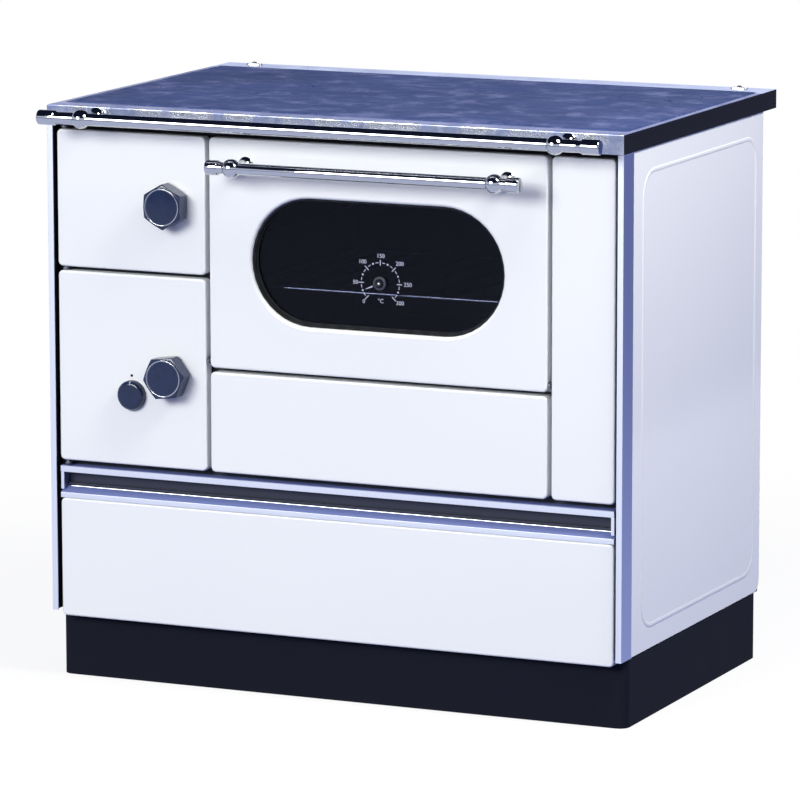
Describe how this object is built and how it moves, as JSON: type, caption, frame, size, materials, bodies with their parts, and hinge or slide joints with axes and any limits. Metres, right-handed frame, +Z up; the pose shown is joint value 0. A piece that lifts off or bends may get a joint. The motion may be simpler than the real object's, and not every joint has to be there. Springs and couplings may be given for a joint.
{
  "type": "wood cookstove",
  "caption": "White enamelled wood cookstove with a steel hob, an oven door with a long window, fire and ash doors, a fuel drawer and chromed rails.",
  "frame": {"origin": "on the floor under the middle of the stove's outer box, front rail included", "axes": "+X to the right seen from the front, -Y to the front, +Z up"},
  "size_m": [0.9, 0.6644, 0.8509],
  "materials": {
    "white_enamel": "glossy",
    "polished_steel": "polished",
    "ground_plate_steel": "satin",
    "bright_chrome": "mirror",
    "satin_aluminium": "satin",
    "black_painted_steel": "satin",
    "galvanised_steel": "matte",
    "bare_steel": "satin",
    "grey_cast_iron": "rough",
    "dark_knob_plastic": "glossy",
    "dark_glass": "polished",
    "pale_paint": "satin",
    "rope_seal": "matte",
    "fire_clay": "matte",
    "dark_enamel": "satin"
  },
  "bodies": {
    "stove_body": {"plinth": "black_painted_steel", "base_pan": "black_painted_steel", "left_side_panel": "white_enamel", "right_side_panel": "white_enamel", "rear_panel": "galvanised_steel", "rear_flue_cover": "galvanised_steel", "front_frame": "grey_cast_iron", "door_hinge_strip": "bare_steel", "oven_hinge_strip": "bare_steel", "corner_trim_left": "satin_aluminium", "corner_trim_right": "satin_aluminium", "hob_frame": "polished_steel", "hob_plate": "ground_plate_steel", "rear_socket_left": "bright_chrome", "rear_socket_right": "bright_chrome", "rail_bar": "bright_chrome", "rail_post_left": "bright_chrome", "rail_post_right": "bright_chrome", "flue_panel": "white_enamel", "firebox_casing": "grey_cast_iron", "firebrick_left": "fire_clay", "firebrick_right": "fire_clay", "firebrick_rear": "fire_clay", "grate_frame": "grey_cast_iron", "grate": "grey_cast_iron", "ash_pan": "bare_steel", "oven_box": "dark_enamel", "oven_rack": "bright_chrome", "drawer_runner_left": "bare_steel", "drawer_runner_right": "bare_steel"},
    "fire_door": {"fire_door_panel": "white_enamel", "fire_door_liner": "grey_cast_iron", "fire_door_gasket": "rope_seal"},
    "fire_door_latch": {"fire_knob": "dark_knob_plastic", "fire_latch": "bare_steel"},
    "ash_door": {"ash_door_panel": "white_enamel", "ash_door_liner": "grey_cast_iron", "ash_door_gasket": "rope_seal"},
    "ash_door_latch": {"ash_knob": "dark_knob_plastic", "ash_latch": "bare_steel"},
    "air_regulator": {"air_regulator_knob": "dark_knob_plastic", "air_shutter": "bare_steel"},
    "oven_door": {"oven_door_panel": "white_enamel", "oven_window_seal": "rope_seal", "oven_door_glass": "dark_glass", "oven_door_liner": "bare_steel", "oven_door_gasket": "rope_seal", "thermometer_hub": "black_painted_steel", "handle_bar": "bright_chrome", "handle_post_left": "bright_chrome", "handle_post_right": "bright_chrome"},
    "oven_thermometer": {"thermometer_needle": "pale_paint"},
    "soot_cover": {"soot_panel": "white_enamel"},
    "fuel_drawer": {"drawer_front": "white_enamel", "drawer_box": "galvanised_steel", "drawer_grip": "satin_aluminium", "drawer_grip_back": "black_painted_steel"},
    "firebox_cover": {"firebox_lid": "ground_plate_steel"},
    "flue_cover": {"flue_lid": "ground_plate_steel"}
  },
  "joints": [
    {"name": "fire_door_hinge", "type": "hinge", "parent": "stove_body", "child": "fire_door", "pos_m": [-0.4265, -0.25785, 0.71075], "axis": [0, 0, -1], "range_deg": [0, 110]},
    {"name": "fire_latch_turn", "type": "hinge", "parent": "fire_door", "child": "fire_door_latch", "pos_m": [-0.254, -0.26385, 0.7094], "axis": [0, 1, 0], "range_deg": [0, 90]},
    {"name": "ash_door_hinge", "type": "hinge", "parent": "stove_body", "child": "ash_door", "pos_m": [-0.4265, -0.25785, 0.4645], "axis": [0, 0, -1], "range_deg": [0, 110]},
    {"name": "ash_latch_turn", "type": "hinge", "parent": "ash_door", "child": "ash_door_latch", "pos_m": [-0.254, -0.26385, 0.4605], "axis": [0, 1, 0], "range_deg": [0, 90]},
    {"name": "air_regulator_turn", "type": "hinge", "parent": "ash_door", "child": "air_regulator", "pos_m": [-0.317, -0.26385, 0.4285], "axis": [0, 1, 0], "range_deg": [0, 45]},
    {"name": "oven_door_hinge", "type": "hinge", "parent": "stove_body", "child": "oven_door", "pos_m": [0.07125, -0.25785, 0.487], "axis": [1, 0, 0], "range_deg": [0, 90], "stiffness_Nm_per_rad": 6, "springref_deg": -14.32},
    {"name": "thermometer_turn", "type": "hinge", "parent": "oven_door", "child": "oven_thermometer", "pos_m": [0.07125, -0.25285, 0.6135], "axis": [0, 1, 0], "range_deg": [-22.5, 247.5]},
    {"name": "soot_panel_pull", "type": "slide", "parent": "stove_body", "child": "soot_cover", "axis": [0, -1, 0], "range_m": [0, 0.04]},
    {"name": "fuel_drawer_slide", "type": "slide", "parent": "stove_body", "child": "fuel_drawer", "axis": [0, -1, 0], "range_m": [0, 0.42]},
    {"name": "firebox_lid_lift", "type": "slide", "parent": "stove_body", "child": "firebox_cover", "axis": [0, 0, 1], "range_m": [0, 0.05]},
    {"name": "flue_lid_lift", "type": "slide", "parent": "stove_body", "child": "flue_cover", "axis": [0, 0, 1], "range_m": [0, 0.05]}
  ]
}
